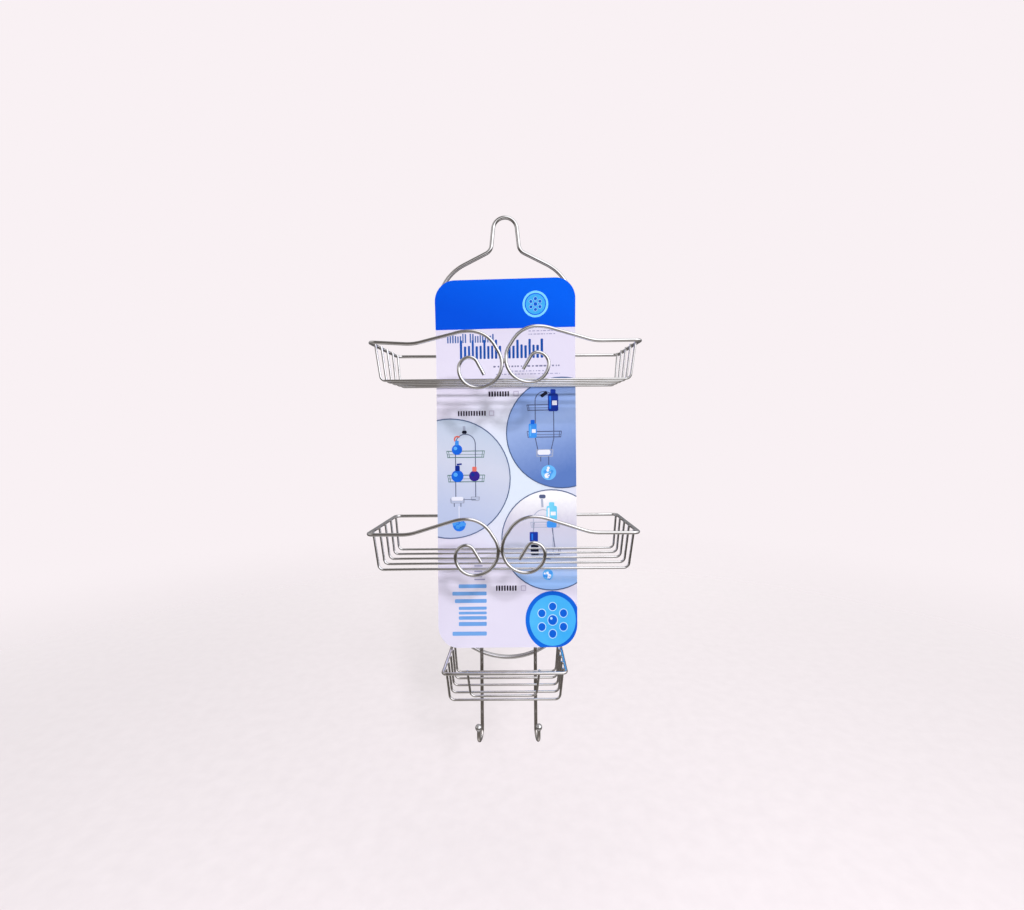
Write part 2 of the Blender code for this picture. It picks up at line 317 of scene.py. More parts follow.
def coated_stock(name, face, shade, glow):
    """White card stock under a thin clear coat: paper fibres, and a pale glow mid-card."""
    made, tree, shader = new_material(name)
    fibre = noise_value(tree, 900.0, 4.0, stretch=(1.0, 1.0, 0.25))
    cloud = noise_value(tree, 9.0, 3.0)
    reach = tree.nodes.new("ShaderNodeVectorMath")
    reach.operation = "DISTANCE"
    reach.inputs[1].default_value = Vector((GLOW_PLACE[0], card_middle_y, card_top - GLOW_PLACE[1])) * MM
    tree.links.new(own_place(tree), reach.inputs[0])
    near = spread(tree, reach.outputs["Value"], GLOW_INNER * MM, GLOW_OUTER * MM, 1.0, 0.0)
    blend = tree.nodes.new("ShaderNodeMixRGB")
    blend.inputs["Color2"].default_value = glow
    tree.links.new(near, blend.inputs["Fac"])
    tree.links.new(ramp(tree, cloud, ((0.3, shade), (0.7, face))), blend.inputs["Color1"])
    tree.links.new(blend.outputs["Color"], shader.inputs["Base Color"])
    paper_shine(tree, shader, fibre, 0.3, 0.15)
    add_bump(tree, shader, fibre, 0.00003)
    return made


def ink(name, *colours, top=None, bottom=None, slant=0.0):
    """Printed ink: a cloudy mottle of its colours, or a grade down the card.

    With top and bottom, two drops below the card's top edge, the colours run from the first
    to the last between them, and slant tilts the grade sideways.
    """
    made, tree, shader = new_material(f"ink_{name}")
    mottle = noise_value(tree, 260.0, 4.0)
    if top is None:
        shade = spread(tree, noise_value(tree, 14.0, 4.0), 0.3, 0.7, 0.0, 1.0)
    else:
        parts = tree.nodes.new("ShaderNodeSeparateXYZ")
        tilt = tree.nodes.new("ShaderNodeMath")
        tilt.operation = "MULTIPLY_ADD"
        tilt.inputs[1].default_value = slant
        tree.links.new(own_place(tree), parts.inputs["Vector"])
        tree.links.new(parts.outputs["X"], tilt.inputs[0])
        tree.links.new(parts.outputs["Z"], tilt.inputs[2])
        shade = spread(tree, tilt.outputs["Value"], (card_top - top) * MM,
                       (card_top - bottom) * MM, 0.0, 1.0)
    mix = tree.nodes.new("ShaderNodeMath")
    mix.operation = "MULTIPLY_ADD"
    mix.inputs[1].default_value = 0.10
    tree.links.new(mottle, mix.inputs[0])
    tree.links.new(shade, mix.inputs[2])
    stops = [(0.05 + 0.95 * step / (len(colours) - 1), colour)
             for step, colour in enumerate(colours)]
    tree.links.new(ramp(tree, mix.outputs["Value"], stops), shader.inputs["Base Color"])
    paper_shine(tree, shader, mottle, 0.12, 0.02)
    add_bump(tree, shader, mottle, 0.00002)
    return made


# ---------------------------------------------------------------- wires

def bend_steps(radius, turn):
    largest = 2.0 * math.acos(1.0 - CHORD_ERROR / abs(radius))
    return max(3, math.ceil(abs(turn) / largest))


def trace(start, heading, moves):
    """Points of a wire bent in one plane: ("run", length), ("bend", radius, degrees left)."""
    x, z = start
    angle = math.radians(heading)
    points = [(x, z)]
    for kind, size, *rest in moves:
        if kind == "run":
            x += size * math.cos(angle)
            z += size * math.sin(angle)
            points.append((x, z))
            continue
        turn = math.radians(rest[0])
        radius = math.copysign(size, turn)
        centre = (x - radius * math.sin(angle), z + radius * math.cos(angle))
        steps = bend_steps(radius, turn)
        for step in range(1, steps + 1):
            now = angle + turn * step / steps
            x = centre[0] + radius * math.sin(now)
            z = centre[1] - radius * math.cos(now)
            points.append((x, z))
        angle += turn
    return points


def rounded(corners, radius, closed=False):
    """A line through the corners, each inner corner turned into an arc."""
    corners = [Vector(corner) for corner in corners]
    count = len(corners)
    points = []
    for index, corner in enumerate(corners):
        if not closed and index in (0, count - 1):
            points.append(corner)
            continue
        back = (corners[index - 1] - corner).normalized()
        ahead = (corners[(index + 1) % count] - corner).normalized()
        half = back.angle(ahead) / 2.0
        centre = corner + (back + ahead).normalized() * (radius / math.sin(half))
        first = (corner + back * (radius / math.tan(half)) - centre).normalized()
        last = (corner + ahead * (radius / math.tan(half)) - centre).normalized()
        steps = bend_steps(radius, math.pi - 2.0 * half)
        for step in range(steps + 1):
            points.append(centre + first.slerp(last, step / steps) * radius)
    return points


def hand_bent(point):
    """The point as a bending machine leaves it: wires stray together, so welds still meet."""
    return point + noise.noise_vector(point / HAND_BEND_LENGTH) * HAND_BEND


def stepped(points, closed):
    """The same line with long runs cut into short steps."""
    points = [Vector(point) for point in points]
    pairs = list(zip(points, points[1:] + points[:1]))
    made = []
    for start, end in pairs if closed else pairs[:-1]:
        count = max(1, math.ceil((end - start).length / LONGEST_STEP))
        made += [start.lerp(end, step / count) for step in range(count)]
    return made if closed else made + [points[-1]]


def ring(mesh, centre, along, across, radius):
    """One round of the wire's skin."""
    up = along.cross(across)
    return [mesh.verts.new(centre + (across * math.cos(angle) + up * math.sin(angle)) * radius)
            for angle in (2.0 * math.pi * side / WIRE_SIDES for side in range(WIRE_SIDES))]


def bridge(mesh, one, two):
    for side in range(WIRE_SIDES):
        after = (side + 1) % WIRE_SIDES
        mesh.faces.new((one[side], one[after], two[after], two[side]))


def fan(mesh, last, pole):
    """Closes the last round to one point."""
    for side in range(WIRE_SIDES):
        mesh.faces.new((last[side], last[(side + 1) % WIRE_SIDES], pole))


def wire(node, points, radius, finish, closed=False):
    """A round wire along the points that stands for a CAD node, with eased cut ends."""
    line = [hand_bent(point) for point in stepped(points, closed)]
    count = len(line)
    mesh = bmesh.new()
    rings = []
    across = Vector((0.0, 0.0, 1.0))
    if abs((line[1] - line[0]).normalized().z) > 0.7:
        across = Vector((0.0, 1.0, 0.0))
    for index, centre in enumerate(line):
        before = line[index - 1] if index or closed else centre
        behind = line[(index + 1) % count] if index < count - 1 or closed else centre
        along = (behind - before).normalized()
        across = (across - along * across.dot(along)).normalized()
        rings.append(ring(mesh, centre, along, across, radius))
        if not closed and index in (0, count - 1):
            outward = -along if index == 0 else along
            eased, flat = ([mesh.verts.new(vert.co.lerp(centre, inward) + outward * radius * rise)
                            for vert in rings[-1]] for inward, rise in CUT_EASE)
            pole = mesh.verts.new(centre + outward * radius * 0.15)
            bridge(mesh, rings[-1], eased)
            bridge(mesh, eased, flat)
            fan(mesh, flat, pole)
    for one, two in zip(rings, rings[1:] + rings[:1] if closed else rings[1:]):
        bridge(mesh, one, two)
    return settle(f"{node}_skin", mesh, [finish], "caddy", node)


def settle(name, mesh, finishes, body, node=None):
    """Turns a bmesh in millimetres into a piece that rides on its body."""
    bmesh.ops.recalc_face_normals(mesh, faces=mesh.faces[:])
    bmesh.ops.scale(mesh, vec=(MM, MM, MM), verts=mesh.verts[:])
    data = bpy.data.meshes.new(name)
    mesh.to_mesh(data)
    mesh.free()
    data.shade_smooth()
    made = add_object(name, data)
    for finish in finishes:
        data.materials.append(finish)
    data.set_sharp_from_angle(angle=math.radians(40.0))
    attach(made, body)
    if node:
        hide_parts(node)
    return made


def weld_beads(name, places, finish):
    """Small uneven nuggets of metal; each place is (centre, half sizes)."""
    draw = random.Random(name)
    beads = bmesh.new()
    for centre, halves in places:
        made = bmesh.ops.create_icosphere(beads, subdivisions=3, radius=1.0)["verts"]
        seed = Vector((draw.random(), draw.random(), draw.random())) * 50.0
        for vert in made:
            swell = 1.0 + 0.16 * noise.noise(vert.co * 1.6 + seed)
            vert.co = Vector(a * b for a, b in zip(vert.co * swell, halves))
            vert.co += hand_bent(Vector(centre))
    return settle(name, beads, [finish], "caddy")


# ---------------------------------------------------------------- caddy

def make_frame(finish):
    """The closed loop. Gives its wire radius, half width and lowest height at its centre."""
    low, high = span("frame_loop")
    radius = (high.y - low.y) / 2.0
    half, top, bottom = high.x - radius, high.z - radius, low.z + radius
    neck = math.radians(90.0 - NECK_FLARE)
    fall = math.radians(SHOULDER_FALL)
    neck_x = (HANGER_BEND_R * math.sin(neck) + NECK_RUN * math.cos(neck)
              + NECK_BEND_R * (math.sin(neck) - math.sin(fall)))
    run = (half - neck_x - SHOULDER_BEND_R * (1.0 - math.sin(fall))) / math.cos(fall)
    right = trace((0.0, top), 0.0, (
        ("bend", HANGER_BEND_R, NECK_FLARE - 90.0),
        ("run", NECK_RUN),
        ("bend", NECK_BEND_R, 90.0 - NECK_FLARE - SHOULDER_FALL),
        ("run", run),
        ("bend", SHOULDER_BEND_R, SHOULDER_FALL - 90.0),
    ))
    right += trace((half, bottom + half), -90.0, (("bend", half, -90.0),))
    left = [(-x, z) for x, z in reversed(right[1:-1])]
    wire("frame_loop", [(x, 0.0, z) for x, z in right + left], radius, finish, closed=True)
    return radius, half, bottom


def cross_wire(node, foot_half, depth_z, finish):
    """A U wire: legs from the rail down to foot_half at depth_z, and the run between.

    Gives its middle, and the outer side of a leg's end from there.
    """
    low, high = span(node)
    radius = (high.y - low.y) / 2.0
    x, y = (high.x + low.x) / 2.0, (high.y + low.y) / 2.0
    top_half = (high.x - low.x) / 2.0 - radius
    corners = ((x + top_half, y, high.z), (x + foot_half, y, depth_z),
               (x - foot_half, y, depth_z), (x - top_half, y, high.z))
    wire(node, rounded(corners, WIRE_BEND_R), radius, finish)
    return x, Vector((top_half + radius, y, high.z))


def weld_pair(x, reach, y, z, halves):
    """Two weld places, this far left and right of x."""
    return [((x + side * reach, y, z), halves) for side in (-1.0, 1.0)]


def scroll(side, middle, front_half, front_y, meet_x, sag):
    """One scrolled end about rail height, turned by sag degrees about the front corner."""
    lean = math.radians(sag)
    path = [(front_half - (front_half - x) * math.cos(lean) - z * math.sin(lean),
             z * math.cos(lean) - (front_half - x) * math.sin(lean))
            for x, z in trace((SCROLL_START, 0.0), 180.0, SCROLL_MOVES)]
    shift = RIM_R + SCROLL_GAP + side * (meet_x - middle) - min(x for x, _ in path)
    return [Vector((middle + side * (x + shift), front_y, z)) for x, z in path]


def rim_corners(middle, front_half, front_y, back_half, back_y, z):
    """Corners of a tapering rim, from its front right one round to its front left one."""
    return [(middle + front_half, front_y, z), (middle + back_half, back_y, z),
            (middle - back_half, back_y, z), (middle - front_half, front_y, z)]


def make_basket(name, finish, metal, frame_half):
    """Rim, floor wires and welds of one basket. Gives its rim's height and rear depth."""
    low, high = span(f"{name}_rim")
    front_y, back_y = low.y + RIM_R, high.y - RIM_R
    middle = (high.x + low.x) / 2.0
    front_half = (high.x - low.x) / 2.0 - RIM_R
    back_half = front_half - BASKET_TAPER
    meet_x = SCROLLS_MEET_X[name]
    left, right = (scroll(side, middle, front_half, front_y, meet_x, sag)
                   for side, sag in zip((-1.0, 1.0), SAGS[name]))
    rim_z = high.z - RIM_R - max(place.z for place in right + left)
    for place in right + left:
        place.z += rim_z
    corners = rim_corners(middle, front_half, front_y, back_half, back_y, rim_z)
    rails = rounded([right[0]] + corners + [left[0]], BASKET_CORNER_R)
    wire(f"{name}_rim", right[:0:-1] + rails + left[1:], RIM_R, finish)

    welds = []
    for number in range(1, FLOOR_WIRES + 1):
        node = f"{name}_floor_wire_{number}"
        _, leg = cross_wire(node, BASKET_FLOOR_HALF, rim_z - BASKET_DEPTH, finish)
        welds += weld_pair(middle, leg.x + 0.1, leg.y, rim_z, LEG_WELD)
    nearest = (min(side, key=lambda place: abs(place.x - meet_x)).z for side in (right, left))
    touch_z = sum(nearest) / 2.0
    welds.append(((meet_x, front_y, touch_z), SCROLL_WELD))
    welds += weld_pair(0.0, frame_half, back_y + RIM_R - 0.1, rim_z, FRAME_WELD)
    weld_beads(f"{name}_welds", welds, metal)
    return rim_z, back_y


def make_soap_dish(finish, metal):
    """Rim, floor wires, guard and welds. Gives the rim's height and its rearmost depth."""
    low, high = span("soap_dish_rim")
    radius = (high.z - low.z) / 2.0
    x, z = (high.x + low.x) / 2.0, (high.z + low.z) / 2.0
    front_y, back_y = low.y + radius, high.y - radius
    front_half = (high.x - low.x) / 2.0 - radius
    back_half = front_half - DISH_TAPER
    corners = rim_corners(x, front_half, front_y, back_half, back_y, z)
    wire("soap_dish_rim", rounded(corners, DISH_CORNER_R, closed=True), radius, finish, closed=True)
    welds = []
    for number in range(1, FLOOR_WIRES + 1):
        node = f"soap_dish_floor_wire_{number}"
        floor_low, floor_high = span(node)
        thin = (floor_high.y - floor_low.y) / 2.0
        _, leg = cross_wire(node, DISH_FLOOR_HALF, floor_low.z + thin, finish)
        welds += weld_pair(x, leg.x + 0.1, leg.y, z + 0.3, DISH_LEG_WELD)
    guard_low, guard_high = span("soap_dish_front_guard")
    thin = (guard_high.y - guard_low.y) / 2.0
    guard_x, leg = cross_wire("soap_dish_front_guard", GUARD_BOTTOM_HALF, guard_low.z + thin,
                              finish)
    welds += weld_pair(guard_x, leg.x - thin, front_y + radius + 0.1, z + 0.3, GUARD_WELD)
    weld_beads("soap_dish_welds", welds, metal)
    return z, back_y + radius


def make_hook(name, side, finish, ball_finish):
    """A rod with its J bend, and the ball on its tip. Gives the ends of its straight run."""
    node = f"hook_rod_{name}"
    low, high = span(node)
    x = side * ((low.x if side > 0 else -high.x) + ROD_R)
    splay = math.radians(HOOK_SPLAY)
    bend_z = low.z + ROD_R + HOOK_BEND_R
    bend_y = low.y + ROD_R + 2.0 * HOOK_BEND_R * math.cos(splay)
    top = Vector((x, high.y - ROD_R, high.z))
    hook = trace((0.0, bend_z), -90.0, (("bend", HOOK_BEND_R, 180.0), ("run", HOOK_TIP_RUN)))
    points = [top] + [Vector((x + side * forward * math.sin(splay),
                              bend_y - forward * math.cos(splay), z)) for forward, z in hook]
    wire(node, points, ROD_R, finish)
    make_ball(name, hand_bent(points[-1]), ball_finish)
    return top, points[1]


def make_ball(name, tip, finish):
    """A turned bead: a sphere that runs into a short collar over the wire's end."""
    node = f"hook_ball_{name}"
    low, high = span(node)
    radius = (high.z - low.z) / 2.0
    centre = (low + high) / 2.0
    collar = ROD_R * 1.12
    reach = math.sqrt(radius ** 2 - collar ** 2)
    start = math.atan2(-reach, collar)
    steps = 28
    profile = [(ROD_R * 0.96, -reach - 1.3), (collar, -reach - 1.1), (collar, -reach - 0.1)]
    profile += [(radius * math.cos(start + (math.pi / 2.0 - start) * step / steps),
                 radius * math.sin(start + (math.pi / 2.0 - start) * step / steps))
                for step in range(1, steps)]
    bead = bmesh.new()
    rounds = []
    for out, rise in profile:
        middle = Vector((centre.x, centre.y, centre.z + rise))
        if rise < -reach:
            middle = Vector((tip.x, tip.y, middle.z))
        rounds.append(ring(bead, middle, Vector((0.0, 0.0, 1.0)), Vector((1.0, 0.0, 0.0)), out))
    for one, two in zip(rounds, rounds[1:]):
        bridge(bead, one, two)
    fan(bead, rounds[-1], bead.verts.new(centre + Vector((0.0, 0.0, radius))))
    bead.faces.new(rounds[0])
    settle(f"{node}_bead", bead, [finish], "caddy", node)


def make_caddy():
    wire_finish = {name: chrome(f"chrome_{name}", srgb(*light), srgb(*dark), 0.05, rough, offset)
                   for name, light, dark, rough, offset in (
                       ("frame", (231, 230, 233), (211, 208, 209), 0.13, 0.0),
                       ("rim", (235, 234, 237), (217, 214, 215), 0.12, 1.7),
                       ("floor", (231, 228, 229), (211, 206, 205), 0.13, 3.1),
                       ("rod", (227, 222, 221), (203, 197, 194), 0.13, 4.3))}
    ball_finish = chrome("chrome_bead", srgb(234, 233, 237), srgb(214, 212, 215), 0.06, 0.13, 5.9)
    # The weld beads' finish is darker than the chrome: painted shade for the crevices where the wires
    # meet.
    metal = weld_metal_with_painted_shade("weld_bead_metal_and_painted_shade")
    frame_r, frame_half, frame_bottom = make_frame(wire_finish["frame"])
    make_basket("top_basket", wire_finish["rim"], metal, frame_half)
    lower_z, lower_back_y = make_basket("lower_basket", wire_finish["rim"], metal, frame_half)
    dish_z, dish_back = make_soap_dish(wire_finish["floor"], metal)
    welds = []
    for name, side in (("left", -1.0), ("right", 1.0)):
        top, low = make_hook(name, side, wire_finish["rod"], ball_finish)
        lean = (low.y - top.y) / (low.z - top.z)
        arc_z = frame_bottom + frame_half - math.sqrt(frame_half ** 2 - top.x ** 2)
        for z, y in ((lower_z, lower_back_y + RIM_R + 0.1), (dish_z, dish_back + 0.1),
                     (arc_z, -frame_r - 0.1)):
            welds.append(((top.x, y, z), ROD_WELD))
    weld_beads("hook_rod_welds", welds, metal)


# ---------------------------------------------------------------- card

def card_place(x, z, lift):
    """A point this far above the card's printed face, on the curled, leaning, warped sheet."""
    above = max(0.0, z - CARD_CURL_START) / (card_top - CARD_CURL_START)
    below = max(0.0, card_bottom + FOOT_HEIGHT - z) / FOOT_HEIGHT
    warp = CARD_WARP * noise.noise(Vector((x, 0.0, z)) / CARD_WARP_LENGTH)
    y = (card_middle_y - CARD_THICKNESS / 2.0 - card_curl * above ** 2
         - FOOT_LEAN * below ** 2 + warp - lift)
    askew = max(0.0, z - card_top + SKEW_HEIGHT) / SKEW_HEIGHT
    return x * (1.0 - FOOT_TAPER * below ** 2), y, z + TOP_SKEW * askew * (x - SKEW_X)


def arc(centre, radius, start, turn, steps=16):
    """Points of an arc on the card, in degrees from +x towards +z."""
    return [Vector((centre[0] + radius * math.cos(math.radians(start + turn * step / steps)),
                    centre[1] + radius * math.sin(math.radians(start + turn * step / steps))))
            for step in range(steps + 1)]


def card_outline():
    """The card's outer line with round corners, counter-clockwise from the lower left."""
    side, rise = card_half - CARD_CORNER_R, CARD_CORNER_R
    corners = ((-side, card_bottom + rise, 180.0), (side, card_bottom + rise, 270.0),
               (side, card_top - rise, 0.0), (-side, card_top - rise, 90.0))
    return [point for x, z, start in corners for point in arc((x, z), rise, start, 90.0)]


def area(outline):
    return sum(one.cross(two) for one, two in zip(outline, outline[1:] + outline[:1])) / 2.0


def clip(outline, fence):
    """The part of an outline inside a convex fence."""
    turn = math.copysign(1.0, area(fence))
    for start, end in zip(fence, fence[1:] + fence[:1]):
        along = end - start
        kept = []
        for one, two in zip(outline, outline[1:] + outline[:1]):
            here, there = turn * along.cross(one - start), turn * along.cross(two - start)
            if here >= 0.0:
                kept.append(one)
            if here * there < 0.0:
                kept.append(one.lerp(two, here / (here - there)))
        outline = kept
        if len(outline) < 3:
            return []
    return outline


def cut_into_cells(sheet):
    """Cuts a flat sheet along a fixed grid, so that every layer bends at the same lines."""
    for axis in (0, 2):
        places = [vert.co[axis] for vert in sheet.verts]
        first = math.floor(min(places) / CARD_CELL) + 1
        last = math.ceil(max(places) / CARD_CELL)
        normal = Vector((0.0, 0.0, 0.0))
        normal[axis] = 1.0
        for cell in range(first, last):
            bmesh.ops.bisect_plane(sheet, geom=sheet.verts[:] + sheet.edges[:] + sheet.faces[:],
                                   plane_co=normal * (cell * CARD_CELL), plane_no=normal,
                                   dist=SAME_PLACE)


def slab(outline, front, back, finish=0):
    """A thin layer that follows the card, from back to front above its printed face."""
    sheet = bmesh.new()
    sheet.faces.new([sheet.verts.new((x, 0.0, z)) for x, z in outline])
    cut_into_cells(sheet)
    bmesh.ops.triangulate(sheet, faces=[face for face in sheet.faces if len(face.verts) > 4])
    made = bmesh.ops.extrude_face_region(sheet, geom=sheet.faces[:])["geom"]
    raised = {item for item in made if isinstance(item, bmesh.types.BMVert)}
    for vert in sheet.verts:
        vert.co = card_place(vert.co.x, vert.co.z, front if vert in raised else back)
    for face in sheet.faces:
        face.material_index = finish
    bmesh.ops.recalc_face_normals(sheet, faces=sheet.faces[:])
    return sheet


def join(whole, part):
    carrier = bpy.data.meshes.new("carrier")
    part.to_mesh(carrier)
    part.free()
    whole.from_mesh(carrier)
    bpy.data.meshes.remove(carrier)


def printed(name, patches, window=None):
    """One printed item: patches are (outline, ink, level), clipped to a window and the card."""
    whole = bmesh.new()
    inks = []
    edge = card_outline()
    for outline, colour, level in patches:
        shape = [Vector((x, card_top - drop)) for x, drop in outline]
        if window:
            shape = clip(shape, [Vector((x, card_top - drop)) for x, drop in window])
        shape = clip(shape, edge) if shape else shape
        if len(shape) < 3 or abs(area(shape)) < SMALLEST_INK:
            continue
        if colour not in inks:
            inks.append(colour)
        join(whole, slab(shape, INK_STEP * level, INK_ROOT, inks.index(colour)))
    return settle(name, whole, [INKS[colour] for colour in inks], "card")


def box(x0, drop0, x1, drop1, radius=0.0):
    """A rectangle with rounded corners on the card."""
    radius = min(radius, (x1 - x0) / 2.0, (drop1 - drop0) / 2.0)
    if radius <= 0.0:
        return [(x0, drop0), (x1, drop0), (x1, drop1), (x0, drop1)]
    corners = ((x1 - radius, drop1 - radius, 0.0), (x0 + radius, drop1 - radius, 90.0),
               (x0 + radius, drop0 + radius, 180.0), (x1 - radius, drop0 + radius, 270.0))
    return [tuple(point) for x, drop, start in corners
            for point in arc((x, drop), radius, start, 90.0, 4)]


def disc(x, drop, radius, steps=56):
    return [tuple(point) for point in arc((x, drop), radius, 0.0, 360.0, steps)[:-1]]


def band_ring(x, drop, outer, inner, steps=56):
    """A ring as short pieces."""
    out, within = arc((x, drop), outer, 0.0, 360.0, steps), arc((x, drop), inner, 0.0, 360.0, steps)
    return [[tuple(out[i]), tuple(out[i + 1]), tuple(within[i + 1]), tuple(within[i])]
            for i in range(steps)]


def stroke(points, width):
    """A drawn line of this width as one outline."""
    points = [Vector(point) for point in points]
    sides = []
    for index, point in enumerate(points):
        before = points[max(0, index - 1)]
        behind = points[min(len(points) - 1, index + 1)]
        along = (behind - before).normalized()
        sides.append(Vector((-along.y, along.x)) * width / 2.0)
    there = [tuple(point + side) for point, side in zip(points, sides)]
    back = [tuple(point - side) for point, side in zip(points, sides)]
    return there + back[::-1]


def spray_dots(x, drop, radius, dot, edge):
    """A round pattern of outlined nozzle dots: one in the middle and a ring of six."""
    places = [(x, drop, dot)]
    for step in range(6):
        angle = math.radians(60.0 * step + 30.0)
        places.append((x + radius * math.cos(angle), drop + radius * math.sin(angle), dot * 0.8))
    patches = []
    for across, down, size in places:
        patches.append((disc(across, down, size + edge, 24), "emblem_gloss", 3))
        patches.append((disc(across, down, size, 24), "emblem_dark", 4))
    return patches


def word_bars(x0, x1, tall, body, base, stem, gap, colour, level, draw):
    """Plain upright bars that stand for one word. They share a base line, and their tops rise
    and fall like a wave between the drops of the tallest and the lowest."""
    patches = []
    x = x0
    while x + stem <= x1:
        swing = 0.5 + 0.5 * math.sin((x - x0) * 0.45 + x0)
        width = stem * draw.uniform(0.9, 1.1)
        patches.append((box(x, body + (tall - body) * swing ** 2, x + width, base, stem * 0.3),
                        colour, level))
        x += width + gap
    return patches


def lines(*courses, colour="wire_dark", width=1.0):
    """Thin drawn lines, one for each course of points."""
    return [(stroke(points, width), colour, 3) for points in courses]


def shelf(x0, x1, drop, depth, colour="wire_dark"):
    """A small wire shelf: rail, floor and the wires between."""
    foot, middle = drop + depth, drop + depth * 0.55
    patches = lines(((x0, drop), (x1, drop)), ((x0 + 0.8, foot), (x1 - 0.8, foot)), colour=colour)
    patches += lines(((x0 + 0.5, middle), (x1 - 0.5, middle)), colour=colour, width=0.5)
    for share in (0.0, 0.05, 0.95, 1.0):
        x = x0 + (x1 - x0) * share
        end = (x + (x0 + x1 - 2.0 * x) * 0.03, foot)
        patches += lines(((x, drop), end), colour=colour, width=0.7)
    return patches


def arch(x0, x1, top, foot, colour="wire_dark"):
    """The frame of a small caddy: a round arch with two legs."""
    half = (x1 - x0) / 2.0
    loop = [tuple(point) for point in arc((x0 + half, top + half), half, 180.0, 180.0, 14)]
    return lines([(x0, foot)] + loop + [(x1, foot)], colour=colour)


def block_bottle(x0, x1, top, foot, body, light, lid):
    """A bottle with square shoulders, a lit side, a label and a lid."""
    wide, tall = x1 - x0, foot - top
    return [
        (box(x0, top + tall * 0.2, x1, foot, wide * 0.18), body, 5),
        (box(x0 + wide * 0.12, top + tall * 0.3, x0 + wide * 0.3, foot - tall * 0.1, wide * 0.08),
         light, 6),
        (box(x0 + wide * 0.4, top + tall * 0.52, x1 - wide * 0.12, top + tall * 0.72, 0.4),
         "white", 6),
        (box(x0 + wide * 0.25, top, x1 - wide * 0.25, top + tall * 0.24, wide * 0.1), lid, 6),
    ]


def ball_bottle(x, drop, radius, body, light, lid, lid_half):
    """A round bottle with a lit spot and a short lid."""
    return [
        (disc(x, drop, radius, 28), body, 5),
        (disc(x - radius * 0.3, drop - radius * 0.25, radius * 0.34, 16), light, 6),
        (box(x - lid_half, drop - radius * 1.75, x + lid_half, drop - radius * 0.85,
             lid_half * 0.4), lid, 6),
    ]


def sponge(x, drop, radius, body, light, draw):
    """A crumpled bath sponge made of overlapping round folds."""
    patches = [(disc(x, drop, radius, 24), body, 5)]
    for step in range(9):
        angle = draw.uniform(0.0, 2.0 * math.pi)
        away = radius * draw.uniform(0.25, 0.8)
        patches.append((disc(x + away * math.cos(angle), drop + away * math.sin(angle),
                             radius * draw.uniform(0.16, 0.36), 14),
                        light if step % 2 else "sky_deep", 6))
    return patches


def inset(name, x, drop, radius, ground, content):
    """A round picture: ground, its content, and an outline."""
    rim = 1.2
    printed(f"{name}_picture", [(disc(x, drop, radius), ground, 2)] + content,
            disc(x, drop, radius))
    printed(f"{name}_outline", [(part, "outline", 7)
                                for part in band_ring(x, drop, radius + rim, radius)])


def make_inks():
    return {name: ink(name, *(srgb(*colour) for colour in colours), **INK_GRADES.get(name, {}))
            for name, colours in INK_COLOURS.items()}


def make_heading():
    draw = random.Random(11)
    for name, level, spans, sizes in (
            ("heading_light", 1, ((-70.0, -46.0), (-43.0, -14.0)), (61.5, 65.0, 73.0, 1.7, 1.3)),
            ("heading", 2, ((-55.0, -3.0), (3.0, 47.0)), (69.8, 77.5, 92.6, 2.8, 2.0))):
        patches = []
        for x0, x1 in spans:
            patches += word_bars(x0, x1, *sizes, name, level, draw)
        printed(f"card_{name}", patches)


def make_notes():
    draw = random.Random(5)
    patches = []
    for x0, x1, drop, height, colour in (
            (27.5, 61.0, 60.0, 1.1, "note"), (27.5, 61.0, 63.8, 1.1, "note"),
            (-15.0, 65.0, 101.2, 1.9, "note_dark"), (7.0, 47.0, 107.4, 1.2, "note"),
            (-12.0, 65.0, 111.0, 1.2, "note")):
        x = x0
        while x < x1:
            width = draw.uniform(1.4, 4.0)
            patches.append((box(x, drop, min(x + width, x1), drop + height, height * 0.3),
                            colour, 1))
            x += width + height * draw.uniform(0.6, 1.6)
    for row in range(6):
        reach = draw.uniform(7.0, 13.0)
        patches.append((box(-40.0, 341.0 + row * 3.2, -40.0 + reach, 342.6 + row * 3.2, 0.4),
                        "note", 1))
    printed("card_notes", patches)


def make_marks():
    """Three short codes, each with an empty check box."""
    draw = random.Random(23)
    side, edge = 6.0, 0.7
    patches = []
    for x0, x1, drop, check in ((-21.0, 6.6, 132.0, 9.0), (-58.0, -22.0, 155.0, -20.6),
                                (-14.0, 13.0, 365.2, 16.0)):
        patches += word_bars(x0, x1, drop, drop, drop + side, 1.9, 1.3, "mark", 8, draw)
        for left, top, right, foot in ((0.0, 0.0, side, edge), (0.0, side - edge, side, side),
                                       (0.0, 0.0, edge, side), (side - edge, 0.0, side, side)):
            patches.append((box(check + left, drop + top, check + right, drop + foot),
                            "mark_light", 8))
    printed("card_marks", patches)


def make_emblems():
    """A ring, a disc and nozzle dots each. The large one also has a small glint."""
    for name, x, drop, colour, outer, inner, disc_r, dots_r, dot, edge in (
            ("small", 36.0, 29.5, "emblem_ring", 15.3, 12.7, 11.6, 6.2, 2.3, 0.4),
            ("large", 53.9, 404.5, "emblem_dark", 32.7, 27.8, 27.9, 15.0, 5.4, 0.9)):
        patches = [(part, colour, 2) for part in band_ring(x, drop, outer, inner)]
        patches.append((disc(x, drop, disc_r), "emblem_disc", 2))
        patches += spray_dots(x, drop, dots_r, dot, edge)
        if name == "large":
            patches.append((disc(x - 1.6, drop - 1.8, 1.5, 16), "emblem_gloss", 5))
        printed(f"card_{name}_emblem", patches)


def make_side_word():
    """Heavy bars that climb the card's lower left, in four groups."""
    right, tall, short = -25.3, -66.6, -59.0
    printed("card_side_word", [
        (box(left, drop, right, drop + thick, 1.2), "word", 1) for drop, thick, left in (
            (363.4, 4.4, short), (371.9, 4.4, tall), (380.4, 4.4, -63.6), (389.0, 3.5, short),
            (394.6, 3.1, short), (399.6, 3.9, short), (406.0, 4.4, short), (416.5, 4.4, tall))])


